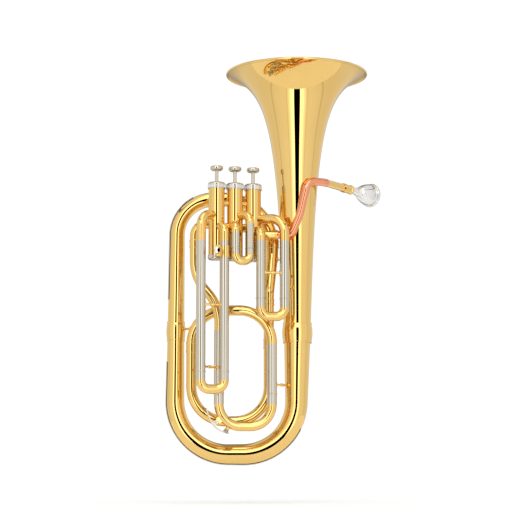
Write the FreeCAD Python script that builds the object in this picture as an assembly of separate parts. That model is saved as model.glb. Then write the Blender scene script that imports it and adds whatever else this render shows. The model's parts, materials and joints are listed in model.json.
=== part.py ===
import FreeCAD, Part
import math
import os
from FreeCAD import Vector

# Baritone horn of British pattern: upright bell, three top-action piston valves, lacquered brass.
# Units are millimetres. X runs to the bell's side, Y towards the player, Z up. The origin is the
# lowest point of the bottom bow, in the plane of the bell's axis.

# --- driving dimensions ---------------------------------------------------------------------

WALL = 0.7                      # tube wall
SKIN = 0.9                      # thickness of soldered flanges and guards
RUNNING = 0.07                  # radial clearance of pistons and slides
FACE_GAP = 0.3                  # gap between a pushed-in slide and its outer tube
FERRULE_GAP = 0.12              # solder gap between a big ferrule and its tubes

BELL_X = 98.0                   # bell axis
BELL_TOP = 636.5
BELL_MOUTH_R = 115.5
BELL_TAIL_Z = 211.0             # bell and bottom bow meet here, under the bell ferrule
BELL_FLARE = 27.1               # Bessel horn: r = mouth_r * (flare / (flare + depth)) ** power
BELL_POWER = 0.6
BELL_WALL = 0.8
BELL_BEAD_R = 1.9
BELL_LIP = 0.9                  # the wall ends this far below the mouth, inside the rolled bead
BELL_SEAMS = (420.0, 560.0)      # soldered seams between tail, throat and flare

BOTTOM_LEFT_X = -97.8           # bottom bow, measured at the corner of its two runs
BOTTOM_RIGHT_X = 95.0
BOTTOM_AXIS_Z = 17.64
BOTTOM_BEND = 85.0
BOTTOM_R_THIN = 13.4            # at the big branch
BOTTOM_R_WIDE = 18.1            # where the right leg starts to flare
BRANCH_JOINT_Z = 213.0          # big branch and bottom bow meet here
BRANCH_X = -96.8

TOP_AXIS_Z = 428.5              # top bow
TOP_LEFT_X = -95.3
TOP_RIGHT = Vector(57.4, 5.0, 0)
TOP_LEFT_BEND = 59.0
TOP_RIGHT_BEND = 75.0
TOP_R_THIN = 10.5
TOP_END_Z = 350.0

RISER = Vector(52.1, -10.0, 0)  # vertical tube behind the first slide
RISER_R = 8.2
RISER_TOP_Z = 262.0
RISER_FOOT_Z = 193.0

RETURN_LEFT = Vector(-70.7, -20.0, 0)
RETURN_AXIS_Z = 69.4
RETURN_BEND = 55.0
RETURN_JOINT_Z = 186.5          # return bow and arch meet here on the left
ARCH_AXIS_Z = 245.0
ARCH_BEND = 52.0

MAIN_LEFT = Vector(-26.5, -42.0, 0)
MAIN_RIGHT = Vector(56.9, -30.0, 0)
MAIN_R = 8.0                    # outer tubes of the main tuning slide
MAIN_OUTER_FOOT_Z = 111.4
MAIN_LEFT_TOP_Z = 211.8
MAIN_RIGHT_TOP_Z = 191.0
MAIN_BOW_TOP_Z = 96.0
MAIN_BOW_R = 7.6
MAIN_BOW_BEND = 35.0

VALVE_PITCH = 30.3
VALVE_ROW_TURN = 17.3           # degrees, third valve nearest the front
VALVE_2 = Vector(-2.1, -39.0, 0)
CASING_R = 12.75
CASING_BORE_R = 11.75
CASING_FOOT_Z = 326.0
CASING_TOP_Z = 443.0
TOP_CAP_R = 14.2
TOP_CAP_FOOT_Z = 437.0
TOP_CAP_TOP_Z = 447.5
BOTTOM_CAP_R = 13.5
BOTTOM_CAP_FOOT_Z = 323.5
BOTTOM_CAP_TOP_Z = 331.0
FELT_H = 1.0
STEM_R = 2.9
BUTTON_R = 10.4
BUTTON_H = 8.0
BUTTON_RIM = 2.4                # radius of the rim's upper edge
BUTTON_TOP_Z = 474.2
PISTON_FOOT_Z = 352.0
PISTON_TOP_Z = 430.0
PORT_R = 6.2
PORT_Z = 376.0                  # straight passage with the valve up
PORT_STEP = 17.5                # valve stroke, and the height between passages
SPRING_R = 8.6
SPRING_WIRE_R = 0.55
SPRING_SIDES = 8                 # the wire's section is an octagon
SPRING_TURNS = 6

LEAD_R = 6.35
LEAD_START_Z = 365.0
RECEIVER_FOOT = Vector(141.5, -25.0, 452.0)
RECEIVER_AXIS = Vector(45.5, 54.0, -2.9)
RECEIVER_LENGTH = 70.6
MOUTHPIECE_SHOWN = 58.0         # mouthpiece length outside the receiver
SHANK_DEPTH = 24.0

WATER_KEY_PIN_TURN = 36.0       # degrees round the left corner of the main bow, from its left side
WATER_KEY_CORK_TURN = 61.0
WATER_KEY_PIN_OUT = 47.6        # distances from the centre of that corner
WATER_KEY_PLATE_OUT = 56.0
WATER_KEY_PLATE_DIP = 6.0       # how much nearer the plate comes at the cork's end
WATER_KEY_PLATE_T = 2.0
WATER_KEY_CORK_TOP = 48.6

# Valve slides: outer leg axes, tube radius, heights of the outer tubes' tops and foot, heights
# of the two ports in the casing, the bow's lowest point, elbow bends.
SLIDES = {
    1: dict(left=Vector(39.4, -60.0, 0), right=Vector(76.7, -52.0, 0), r=7.5, foot=260.0, ferrule=13.0,
            left_top=353.0, right_top=353.0, left_port=370.0, right_port=390.0, low=225.0,
            left_bend=11.0, right_bend=24.0, leg_top=345.0),
    2: dict(left=Vector(-0.5, -66.0, 0), right=Vector(22.3, -59.0, 0), r=7.0, foot=339.0, ferrule=8.0,
            left_top=365.0, right_top=380.0, left_port=378.0, right_port=394.5, low=313.0,
            left_bend=10.0, right_bend=13.0, leg_top=363.0),
    3: dict(left=Vector(-54.4, -75.0, 0), right=Vector(-17.9, -65.5, 0), r=7.5, foot=144.0, ferrule=12.0,
            left_top=351.0, right_top=351.0, left_port=394.0, right_port=375.5, low=110.0,
            left_bend=20.0, right_bend=11.0, leg_top=330.0),
}

EXIT_X = -66.0                  # tube from the third valve down to the main slide
EXIT_Y = -40.0
EXIT_PORT_Z = 381.0
EXIT_R = 7.5

LYRE_POST = Vector(-27.5, -75.0, 0)
LYRE_FOOT_Z = 325.0
LYRE_TOP_Z = 343.0
LYRE_BORE_R = 2.6

UP = Vector(0, 0, 1)


# --- geometry helpers -----------------------------------------------------------------------

def unit(vector):
    return vector * (1.0 / vector.Length)


def at(point, z):
    return Vector(point.x, point.y, z)


def rounded_path(points, bends):
    """Straight runs joined by tangent arcs, one bend radius for each inner point."""
    edges = []
    run_start = points[0]
    for corner, after, radius in zip(points[1:], points[2:], bends):
        inward = unit(corner - run_start)
        outward = unit(after - corner)
        half_turn = inward.getAngle(outward) / 2
        setback = radius * math.tan(half_turn)
        arc_start = corner - inward * setback
        arc_end = corner + outward * setback
        arc_middle = corner + unit(outward - inward) * (radius / math.cos(half_turn) - radius)
        if (arc_start - run_start).Length > 0.01:
            edges.append(Part.LineSegment(run_start, arc_start).toShape())
        edges.append(Part.Arc(arc_start, arc_middle, arc_end).toShape())
        run_start = arc_end
    if (points[-1] - run_start).Length > 0.01:
        edges.append(Part.LineSegment(run_start, points[-1]).toShape())
    return Part.Wire(edges)


def round_bar(points, bends, start_r, end_r=None):
    """Solid bar of round section along a rounded path, tapering evenly along it."""
    end_r = start_r if end_r is None else end_r
    sweep = Part.BRepOffsetAPI.MakePipeShell(rounded_path(points, bends))
    first = unit(points[1] - points[0])
    last = unit(points[-1] - points[-2])
    sweep.add(Part.Wire(Part.makeCircle(start_r, points[0], first)))
    if abs(end_r - start_r) > 1e-6:
        sweep.add(Part.Wire(Part.makeCircle(end_r, points[-1], last)))
    sweep.build()
    sweep.makeSolid()
    return sweep.shape()


def stretched(points, extra):
    """The same path with both ends moved outwards, for cutting a bore right through."""
    first = points[0] - unit(points[1] - points[0]) * extra
    last = points[-1] + unit(points[-1] - points[-2]) * extra
    return [first] + list(points[1:-1]) + [last]


def tube(points, bends, start_r, end_r=None, wall=WALL):
    end_r = start_r if end_r is None else end_r
    bore = round_bar(stretched(points, 1.0), bends, start_r - wall, end_r - wall)
    return round_bar(points, bends, start_r, end_r).cut(bore)


def bar(start, end, radius):
    return Part.makeCylinder(radius, (end - start).Length, start, unit(end - start))


def straight_tube(start, end, radius, wall=WALL):
    return bar(start, end, radius).cut(bar(*stretched([start, end], 1.0), radius - wall))


def lathe(outline, base=Vector(0, 0, 0), axis=UP):
    """Solid of revolution of (radius, height) points about an axis through base."""
    points = [Vector(r, 0, h) for r, h in outline]
    face = Part.Face(Part.makePolygon(points + [points[0]]))
    solid = face.revolve(Vector(0, 0, 0), UP, 360)
    solid.Placement = FreeCAD.Placement(base, FreeCAD.Rotation(UP, axis))
    return solid


def box(low, high):
    size = high - low
    return Part.makeBox(size.x, size.y, size.z, low)


def all_of(pieces):
    return Part.makeCompound(pieces)


def merge(first, *others):
    for other in others:
        first = first.fuse(other)
    return first.removeSplitter()


def export(node, shape):
    solids = shape.Solids
    if not solids or not all(solid.isValid() for solid in solids):
        print("BAD", node, len(solids))
    shape = solids[0] if len(solids) == 1 else Part.makeCompound(solids)
    if shape.Volume < 0:
        print("NEGATIVE", node)
    shape.exportStep("parts/" + node + ".step")
    print(node, len(solids), round(shape.Volume, 1))


# --- bell -----------------------------------------------------------------------------------

def bell_radius(z):
    depth = BELL_TOP - z
    return BELL_MOUTH_R * (BELL_FLARE / (BELL_FLARE + depth)) ** BELL_POWER


def bell_slope(z):
    return BELL_POWER * bell_radius(z) / (BELL_FLARE + BELL_TOP - z)


def bell_curve(inset, low=BELL_TAIL_Z, high=BELL_TOP - BELL_LIP):
    """Outline of the bell moved inwards by inset along its normal, from low to high."""
    points = []
    steps = 26 if low == BELL_TAIL_Z and high > BELL_SEAMS[1] else 14
    for step in range(steps + 1):
        share = (step / steps) ** 0.55
        z = low + (high - low) * share
        slope = bell_slope(z)
        long = math.hypot(1, slope)
        height = z + inset * slope / long
        if step == 0:
            height = low
        if step == steps and high in BELL_SEAMS:
            height = high
        points.append(Vector(bell_radius(z) - inset / long, 0, height))
    curve = Part.BSplineCurve()
    curve.interpolate(points)
    return curve.toShape(), points


def bell_solid(inset):
    """The bell's outside as a full solid, moved inwards by inset."""
    edge, points = bell_curve(inset)
    tail = Vector(0, 0, points[0].z)
    mouth = Vector(0, 0, points[-1].z)
    rest = Part.makePolygon([points[-1], mouth, tail, points[0]])
    solid = Part.Face(Part.Wire([edge] + rest.Edges)).revolve(Vector(0, 0, 0), UP, 360)
    solid.translate(Vector(BELL_X, 0, 0))
    return solid


def make_bell_wall(low, high):
    """One length of the bell's wall."""
    outer_edge, outer = bell_curve(0, low, high)
    inner_edge, inner = bell_curve(BELL_WALL, low, high)
    foot = Part.LineSegment(inner[0], outer[0]).toShape()
    lip = Part.LineSegment(outer[-1], inner[-1]).toShape()
    face = Part.Face(Part.Wire([outer_edge, lip, inner_edge, foot]))
    wall = face.revolve(Vector(0, 0, 0), UP, 360)
    wall.translate(Vector(BELL_X, 0, 0))
    return wall


def make_bell_flare():
    """The flare, with the bead rolled round its mouth."""
    bead = Part.makeTorus(BELL_MOUTH_R - BELL_BEAD_R, BELL_BEAD_R,
                          Vector(BELL_X, 0, BELL_TOP - BELL_BEAD_R))
    return make_bell_wall(BELL_SEAMS[1], BELL_TOP - BELL_LIP).fuse(bead)


# --- big conical tubing ---------------------------------------------------------------------

def bottom_bow_points():
    """Run of the bottom bow, from the big branch to the foot of its flared right leg."""
    joint = Vector(BELL_X, 0, BELL_TAIL_Z)
    corner = Vector(BOTTOM_RIGHT_X, 0, BOTTOM_AXIS_Z)
    leg_foot = corner + unit(joint - corner) * (BOTTOM_BEND + 2)
    return [Vector(BRANCH_X, 0, BRANCH_JOINT_Z), Vector(BOTTOM_LEFT_X, 0, BOTTOM_AXIS_Z), corner, leg_foot]


def bottom_bow_solid(grow=0.0):
    points = bottom_bow_points()
    bends = [BOTTOM_BEND, BOTTOM_BEND]
    bow = round_bar(points, bends, BOTTOM_R_THIN + grow, BOTTOM_R_WIDE + grow)
    joint = Vector(BELL_X, 0, BELL_TAIL_Z)
    axis = joint - points[-1]
    wide = bell_radius(BELL_TAIL_Z)
    leg = Part.makeCone(BOTTOM_R_WIDE + grow, wide + grow, axis.Length, points[-1], unit(axis))
    return bow.fuse(leg)


def top_bow_points():
    return [Vector(BRANCH_X, 0, BRANCH_JOINT_Z), Vector(TOP_LEFT_X, 0, TOP_AXIS_Z),
            at(TOP_RIGHT, TOP_AXIS_Z), at(TOP_RIGHT, TOP_END_Z)]


def top_bow_solid(grow=0.0):
    bends = [TOP_LEFT_BEND, TOP_RIGHT_BEND]
    return round_bar(top_bow_points(), bends, BOTTOM_R_THIN + grow, TOP_R_THIN + grow)


def small_branch_points():
    return [at(TOP_RIGHT, TOP_END_Z), at(TOP_RIGHT, TOP_END_Z - 12),
            at(RISER, RISER_TOP_Z + 13), at(RISER, RISER_TOP_Z)]


def small_branch_solid(grow=0.0):
    return round_bar(small_branch_points(), [60, 60], TOP_R_THIN + grow, RISER_R + grow)


def bow_guard(bow, skin, path_points, bends, limits):
    """Wear strip soldered along the outside of a bow: the part of its skin that lies outside the
    bow's centre line, kept inside a narrow band."""
    path = rounded_path([Vector(p.x, 0, p.z) for p in path_points], bends)
    ends = [path.Edges[-1].Vertexes[-1].Point, path.Edges[0].Vertexes[0].Point]
    closing = Part.LineSegment(*ends).toShape()
    inside = Part.Face(Part.Wire(path.Edges + [closing])).extrude(Vector(0, 60, 0))
    inside.translate(Vector(0, -30, 0))
    return skin.cut(bow).common(limits).cut(inside)


def make_ferrule(foot, top, body_r, lip_r, centre, bore):
    """Joint sleeve with a swelling body and a lip at each end, over the two tubes that meet inside
    it. bore holds the (radius, height) corners of its inside, from the top down."""
    height = top - foot
    outline = [(lip_r, 0), (lip_r, 1.6), (lip_r - 0.5, 2.0)]
    for step in range(1, 8):
        share = step / 8
        outline.append((lip_r - 0.5 + (body_r - lip_r + 0.5) * math.sin(math.pi * share),
                        2.0 + (height - 4.0) * share))
    outline += [(lip_r - 0.5, height - 2.0), (lip_r, height - 1.6), (lip_r, height)]
    outline += [(radius, z - foot) for radius, z in bore]
    return lathe(outline, at(centre, foot))


def tube_ferrule(centre, foot, top, tube_r, grow=0.9):
    """Plain short sleeve over a butt joint of two tubes of one diameter."""
    outer = tube_r + grow
    outline = [(tube_r, foot), (outer - 0.4, foot), (outer, foot + 0.6), (outer, foot + 2.2),
               (outer - 0.4, foot + 2.6), (outer - 0.4, top - 2.6), (outer, top - 2.2),
               (outer, top - 0.6), (outer - 0.4, top), (tube_r, top)]
    return lathe(outline, at(centre, 0))


# --- valves ---------------------------------------------------------------------------------

def valve_axis(number):
    """Axis of valve 1, 2 or 3; valve 1 is nearest the bell."""
    turn = math.radians(VALVE_ROW_TURN)
    along = Vector(math.cos(turn), math.sin(turn), 0)
    return VALVE_2 + along * VALVE_PITCH * (2 - number)


def casing_core(number, radius=CASING_R):
    return Part.makeCylinder(radius, CASING_TOP_Z - CASING_FOOT_Z, at(valve_axis(number), CASING_FOOT_Z))


def port(number, toward, z, radius):
    """Round passage from the valve's axis out towards a tube."""
    centre = at(valve_axis(number), z)
    direction = unit(at(toward, z) - centre)
    return Part.makeCylinder(radius, CASING_R + 4, centre, direction)


def knuckle(number, z, radius, wall=None):
    """Short crosswise tube between casing number and casing number + 1."""
    start = at(valve_axis(number), z)
    end = at(valve_axis(number + 1), z)
    piece = bar(start, end, radius) if wall is None else straight_tube(start, end, radius, wall)
    return piece.cut(casing_core(number)).cut(casing_core(number + 1))


def make_casing(number):
    casing = casing_core(number).cut(casing_core(number, CASING_BORE_R))
    slide = SLIDES[number]
    bore = slide["r"] - WALL
    casing = casing.cut(port(number, slide["left"], slide["left_port"], bore))
    casing = casing.cut(port(number, slide["right"], slide["right_port"], bore))
    if number > 1:
        casing = casing.cut(port(number, valve_axis(number - 1), PORT_Z, PORT_R))
    else:
        casing = casing.cut(port(number, LEAD_POINTS[1], LEAD_START_Z, LEAD_R - WALL))
    if number < 3:
        casing = casing.cut(port(number, valve_axis(number + 1), PORT_Z, PORT_R))
    else:
        casing = casing.cut(port(number, Vector(EXIT_X, EXIT_Y, 0), EXIT_PORT_Z, EXIT_R - WALL))
    return casing


def make_top_cap(number):
    """Screwed cap: fluted skirt over the casing, domed top with a hole for the stem."""
    shoulder = TOP_CAP_TOP_Z - 2.2
    outline = [(CASING_R, TOP_CAP_FOOT_Z), (TOP_CAP_R - 0.5, TOP_CAP_FOOT_Z),
               (TOP_CAP_R, TOP_CAP_FOOT_Z + 0.6), (TOP_CAP_R, shoulder),
               (TOP_CAP_R - 0.5, shoulder + 1.0), (TOP_CAP_R - 2.2, TOP_CAP_TOP_Z),
               (STEM_R + 0.3, TOP_CAP_TOP_Z), (STEM_R + 0.3, CASING_TOP_Z), (CASING_R, CASING_TOP_Z)]
    return lathe(outline, at(valve_axis(number), 0))


def make_bottom_cap(number):
    foot = BOTTOM_CAP_FOOT_Z
    outline = [(1.5, foot), (4.0, foot - 1.5), (5.5, foot), (BOTTOM_CAP_R - 1.2, foot),
               (BOTTOM_CAP_R, foot + 1.2), (BOTTOM_CAP_R, BOTTOM_CAP_TOP_Z),
               (CASING_R, BOTTOM_CAP_TOP_Z), (CASING_R, CASING_FOOT_Z),
               (1.5, CASING_FOOT_Z)]
    return lathe(outline, at(valve_axis(number), 0))


def make_cap_felt(number):
    outline = [(STEM_R + 0.3, 0), (6.5, 0), (6.5, FELT_H), (STEM_R + 0.3, FELT_H)]
    return lathe(outline, at(valve_axis(number), TOP_CAP_TOP_Z))


def make_piston(number):
    """Hollow piston with three cross passages, one straight and two for the valve slide."""
    centre = valve_axis(number)
    outer_r = CASING_BORE_R - RUNNING
    height = PISTON_TOP_Z - PISTON_FOOT_Z
    outer = Part.makeCylinder(outer_r, height, at(centre, PISTON_FOOT_Z))
    inner = Part.makeCylinder(outer_r - 0.8, height - 3.0, at(centre, PISTON_FOOT_Z + 1.5))
    piston = outer.cut(inner)
    row_turn = VALVE_ROW_TURN
    turns = [row_turn, row_turn + 60, row_turn - 60]
    for step, turn in enumerate(turns):
        way = Vector(math.cos(math.radians(turn)), math.sin(math.radians(turn)), 0)
        middle = at(centre, PORT_Z + step * PORT_STEP)
        liner = Part.makeCylinder(PORT_R + 0.7, 2 * outer_r + 8, middle - way * (outer_r + 4), way)
        piston = piston.fuse(liner.common(outer))
        piston = piston.cut(Part.makeCylinder(PORT_R, 2 * outer_r + 8, middle - way * (outer_r + 4), way))
    vent = Part.makeCylinder(1.5, 3.0, at(centre, PISTON_FOOT_Z - 1))
    return piston.cut(vent)


def make_stem(number):
    """Rod screwed into the piston, with a collar on the piston's top."""
    under_button = BUTTON_TOP_Z - BUTTON_H
    outline = [(0, PISTON_TOP_Z), (6.5, PISTON_TOP_Z), (6.5, PISTON_TOP_Z + 1.5),
               (STEM_R, PISTON_TOP_Z + 3.0), (STEM_R, under_button), (0, under_button)]
    return lathe(outline, at(valve_axis(number), 0))


def make_button(number):
    """Round finger button: a bowl underneath, a rounded rim and a shallow dish on top."""
    foot = BUTTON_TOP_Z - BUTTON_H
    outline = [(0, foot), (3.6, foot)]
    steps = 6
    bowl = BUTTON_H - BUTTON_RIM - 1.9
    for step in range(steps + 1):
        turn = math.pi / 2 * step / steps
        outline.append((4.0 + (BUTTON_R - 4.0) * math.sin(turn), foot + 0.3 + bowl * (1 - math.cos(turn))))
    for step in range(steps + 1):
        turn = math.pi / 2 * step / steps
        outline.append((BUTTON_R - BUTTON_RIM + BUTTON_RIM * math.cos(turn),
                        BUTTON_TOP_Z - BUTTON_RIM + BUTTON_RIM * math.sin(turn)))
    outline += [(6.5, BUTTON_TOP_Z - 0.3), (3.5, BUTTON_TOP_Z - 0.7), (0, BUTTON_TOP_Z - 0.8)]
    return lathe(outline, at(valve_axis(number), 0))


def make_valve_spring(number):
    """Coil of wire between the casing's foot and the piston."""
    height = PISTON_FOOT_Z - CASING_FOOT_Z - 2 * SPRING_WIRE_R - 0.1
    base = at(valve_axis(number), CASING_FOOT_Z + SPRING_WIRE_R + 0.05)
    helix = Part.makeHelix(height / SPRING_TURNS, height, SPRING_R)
    helix.translate(base)
    edge = helix.Edges[0]
    start = edge.valueAt(edge.FirstParameter)
    outward = unit(start - base)
    across = unit(edge.tangentAt(edge.FirstParameter).cross(outward))
    corners = []
    for side in range(SPRING_SIDES):
        turn = 2 * math.pi * (side + 0.5) / SPRING_SIDES
        corners.append(start + (outward * math.cos(turn) + across * math.sin(turn)) * SPRING_WIRE_R)
    sweep = Part.BRepOffsetAPI.MakePipeShell(Part.Wire(helix.Edges))
    sweep.setFrenetMode(True)
    sweep.add(Part.makePolygon(corners + corners[:1]), False, True)
    sweep.build()
    sweep.makeSolid()
    return sweep.shape()


# --- slides ---------------------------------------------------------------------------------

def foot_bead(centre, z, radius):
    """Small half-round ring round the end of an outer slide tube."""
    return lathe([(radius - 0.4, z), (radius + 0.3, z), (radius + 0.75, z + 0.5), (radius + 0.75, z + 1.3),
                  (radius + 0.3, z + 1.8), (radius - 0.4, z + 1.8)], at(centre, 0))


def outer_leg(centre, foot, top, radius):
    leg = straight_tube(at(centre, foot), at(centre, top), radius)
    return merge(leg, foot_bead(centre, foot, radius))


def inner_leg(centre, foot, top, radius, ferrule):
    """Inner slide tube with the ferrule that joins it to the bow."""
    slide_r = radius - WALL - RUNNING
    leg = straight_tube(at(centre, foot), at(centre, top), slide_r, 0.6)
    band_top = foot + ferrule - FACE_GAP
    band_r = radius - 0.05
    band = straight_tube(at(centre, foot), at(centre, band_top), band_r, band_r - slide_r + 0.3)
    return merge(leg, band)


def valve_slide_outer(number):
    slide = SLIDES[number]
    left = outer_leg(slide["left"], slide["foot"], slide["left_top"], slide["r"])
    right = outer_leg(slide["right"], slide["foot"], slide["right_top"], slide["r"])
    return all_of([left, right])


def elbow_points(number, side):
    slide = SLIDES[number]
    leg = slide[side]
    z = slide[side + "_port"]
    return [at(leg, slide[side + "_top"]), at(leg, z), at(valve_axis(number), z)]


def valve_slide_elbows(number):
    slide = SLIDES[number]
    pieces = []
    for side in ("left", "right"):
        elbow = tube(elbow_points(number, side), [slide[side + "_bend"]], slide["r"])
        pieces.append(elbow.cut(casing_core(number)))
    return all_of(pieces)


def valve_slide_bow(number):
    slide = SLIDES[number]
    top = slide["foot"] - slide["ferrule"]
    low = slide["low"] + slide["r"]
    span = (slide["right"] - slide["left"]).Length
    bend = min(span / 2 - 0.6, top - low - 0.3)
    points = [at(slide["left"], top), at(slide["left"], low),
              at(slide["right"], low), at(slide["right"], top)]
    return tube(points, [bend, bend], slide["r"] - 0.05)


def valve_slide_legs(number):
    slide = SLIDES[number]
    foot = slide["foot"] - slide["ferrule"]
    legs = []
    for side in ("left", "right"):
        top = min(slide["leg_top"], slide[side + "_top"] - 2)
        legs.append(inner_leg(slide[side], foot, top, slide["r"], slide["ferrule"]))
    return all_of(legs)


def main_bow_points():
    return [at(MAIN_LEFT, MAIN_BOW_TOP_Z), at(MAIN_LEFT, MAIN_BOW_TOP_Z - MAIN_BOW_BEND),
            at(MAIN_RIGHT, MAIN_BOW_TOP_Z - MAIN_BOW_BEND), at(MAIN_RIGHT, MAIN_BOW_TOP_Z)]


def main_bow_bends():
    return [MAIN_BOW_BEND - 0.2, MAIN_BOW_BEND - 0.2]


# --- water key, on the left corner of the main bow -------------------------------------------

def main_bow_way():
    return unit(MAIN_RIGHT - MAIN_LEFT)


def key_axis():
    way = main_bow_way()
    return Vector(-way.y, way.x, 0)


def key_point(turn, out, aside=0.0):
    """Point beside the bow's left corner: turn in degrees from its left side, out from its centre."""
    centre = at(MAIN_LEFT, MAIN_BOW_TOP_Z) + main_bow_way() * MAIN_BOW_BEND
    angle = math.radians(turn)
    offset = main_bow_way() * (-out * math.cos(angle)) - UP * (out * math.sin(angle))
    return centre + offset + key_axis() * aside


def curved_plate(start_turn, end_turn, inner, outer, width):
    """Plate bent round the bow's corner, from one turn to another."""
    middle = (start_turn + end_turn) / 2
    corners = [(start_turn, inner), (middle, inner), (end_turn, inner),
               (end_turn, outer), (middle, outer), (start_turn, outer)]
    p = [key_point(turn, out, -width / 2) for turn, out in corners]
    edges = [Part.Arc(p[0], p[1], p[2]).toShape(), Part.LineSegment(p[2], p[3]).toShape(),
             Part.Arc(p[3], p[4], p[5]).toShape(), Part.LineSegment(p[5], p[0]).toShape()]
    return Part.Face(Part.Wire(edges)).extrude(key_axis() * width)


def key_plate_out(turn):
    """Distance of the finger plate's outer face: round at first, then dipping towards the cork."""
    dip = max(turn - 25.0, 0.0) / 44.0
    return WATER_KEY_PLATE_OUT - WATER_KEY_PLATE_DIP * dip * dip


def key_plate(start_turn, end_turn, width):
    """Stretch of the finger plate, a crescent seen from the side."""
    turns = [start_turn, (start_turn + end_turn) / 2, end_turn]
    inside = [key_point(turn, key_plate_out(turn) - WATER_KEY_PLATE_T, -width / 2) for turn in turns]
    outside = [key_point(turn, key_plate_out(turn), -width / 2) for turn in turns]
    edges = [Part.Arc(*inside).toShape(), Part.LineSegment(inside[2], outside[2]).toShape(),
             Part.Arc(*outside[::-1]).toShape(), Part.LineSegment(outside[0], inside[0]).toShape()]
    return Part.Face(Part.Wire(edges)).extrude(key_axis() * width)


def make_key_lever():
    """Finger plate, knuckle on the pin, and the cup that holds the cork."""
    lever = key_plate(22, 69, 5.0)
    thumb = key_plate(7, 24, 9.0)
    knuckle_tube = bar(key_point(WATER_KEY_PIN_TURN, WATER_KEY_PIN_OUT, -2.9),
                       key_point(WATER_KEY_PIN_TURN, WATER_KEY_PIN_OUT, 2.9), 2.5)
    web = curved_plate(32, 40, WATER_KEY_PIN_OUT, key_plate_out(36) - 1.0, 3.0)
    cup = bar(key_point(WATER_KEY_CORK_TURN, WATER_KEY_CORK_TOP),
              key_point(WATER_KEY_CORK_TURN, key_plate_out(WATER_KEY_CORK_TURN) - 0.5), 4.2)
    hole = bar(key_point(WATER_KEY_PIN_TURN, WATER_KEY_PIN_OUT, -6),
               key_point(WATER_KEY_PIN_TURN, WATER_KEY_PIN_OUT, 6), 1.05)
    return merge(lever, thumb, knuckle_tube, web, cup).cut(hole)


def make_key_cork():
    outer_end = key_point(WATER_KEY_CORK_TURN, WATER_KEY_CORK_TOP)
    return bar(key_point(WATER_KEY_CORK_TURN, 46.0), outer_end, 3.5)


def make_key_saddle(bow):
    """Two ears soldered to the bow that carry the pin."""
    ears = []
    for aside in (-4.9, 3.4):
        start = key_point(WATER_KEY_PIN_TURN, 36, aside)
        post = bar(start, start + key_axis() * 1.5, 3.4)
        head = bar(key_point(WATER_KEY_PIN_TURN, WATER_KEY_PIN_OUT, aside),
                   key_point(WATER_KEY_PIN_TURN, WATER_KEY_PIN_OUT, aside) + key_axis() * 1.5, 2.6)
        web = curved_plate(30, 42, 37, WATER_KEY_PIN_OUT - 1.5, 1.5)
        web.translate(key_axis() * (aside + 0.75))
        ears.append(merge(post, head, web))
    hole = bar(key_point(WATER_KEY_PIN_TURN, WATER_KEY_PIN_OUT, -9),
               key_point(WATER_KEY_PIN_TURN, WATER_KEY_PIN_OUT, 9), 1.0)
    return all_of([ear.cut(bow).cut(hole) for ear in ears])


def make_key_nipple(bow):
    foot = key_point(WATER_KEY_CORK_TURN, 36)
    top = key_point(WATER_KEY_CORK_TURN, 45.95)
    nipple = bar(foot, top, 3.1).cut(bow)
    return nipple.cut(bar(foot, top + (top - foot), 1.6))


def make_key_pin():
    start = key_point(WATER_KEY_PIN_TURN, WATER_KEY_PIN_OUT, -5.2)
    end = key_point(WATER_KEY_PIN_TURN, WATER_KEY_PIN_OUT, 5.2)
    head = bar(start - key_axis() * 1.0, start, 1.9)
    return merge(bar(start, end, 1.0), head)


# --- mouthpipe, receiver, mouthpiece ---------------------------------------------------------

LEAD_POINTS = [at(valve_axis(1), LEAD_START_Z), Vector(88.0, -36.0, 365.5), Vector(102.0, -41.2, 398.0),
               Vector(114.5, -41.2, 451.9), RECEIVER_FOOT, RECEIVER_FOOT + unit(RECEIVER_AXIS) * 6.0]
LEAD_BENDS = [17.0, 90.0, 17.0, 25.0]
LEAD_SLEEVE = (18.5, 41.0)       # brass sleeve on the leadpipe, out from the first valve's axis


def lead_sleeve():
    """Brass sleeve with a ring at each end, where the leadpipe enters the first valve."""
    start = LEAD_POINTS[0]
    way = unit(LEAD_POINTS[1] - start)
    low, high = LEAD_SLEEVE
    outline = [(LEAD_R, low), (LEAD_R + 1.6, low), (LEAD_R + 1.6, low + 1.8), (LEAD_R + 0.9, low + 2.4),
               (LEAD_R + 0.9, high - 4), (LEAD_R + 1.6, high - 3.4), (LEAD_R + 1.6, high - 1.2),
               (LEAD_R + 0.7, high), (LEAD_R, high)]
    return lathe(outline, start, way)


def make_leadpipe():
    return tube(LEAD_POINTS, LEAD_BENDS, LEAD_R).cut(casing_core(1))


def shank_radius(depth_outside):
    """Mouthpiece shank radius; depth_outside is the distance outside the receiver's mouth."""
    return 5.6 + 0.025 * depth_outside


def make_receiver():
    """Tapered socket for the mouthpiece, with a stepped ring three quarters of the way along."""
    start = 6.0
    end = RECEIVER_LENGTH
    ring = 0.74 * RECEIVER_LENGTH
    outline = [(5.2, start), (5.85, start), (6.2, ring - 3.0), (7.5, ring - 3.0), (7.5, ring + 3.5),
               (6.9, ring + 4.5), (6.9, end - 4.5), (7.7, end - 3.5), (7.7, end), (5.65, end),
               (shank_radius(-SHANK_DEPTH) + 0.05, end - SHANK_DEPTH), (4.6, end - SHANK_DEPTH - 1),
               (5.2, start + 10)]
    return lathe(outline, RECEIVER_FOOT, unit(RECEIVER_AXIS))


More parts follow.
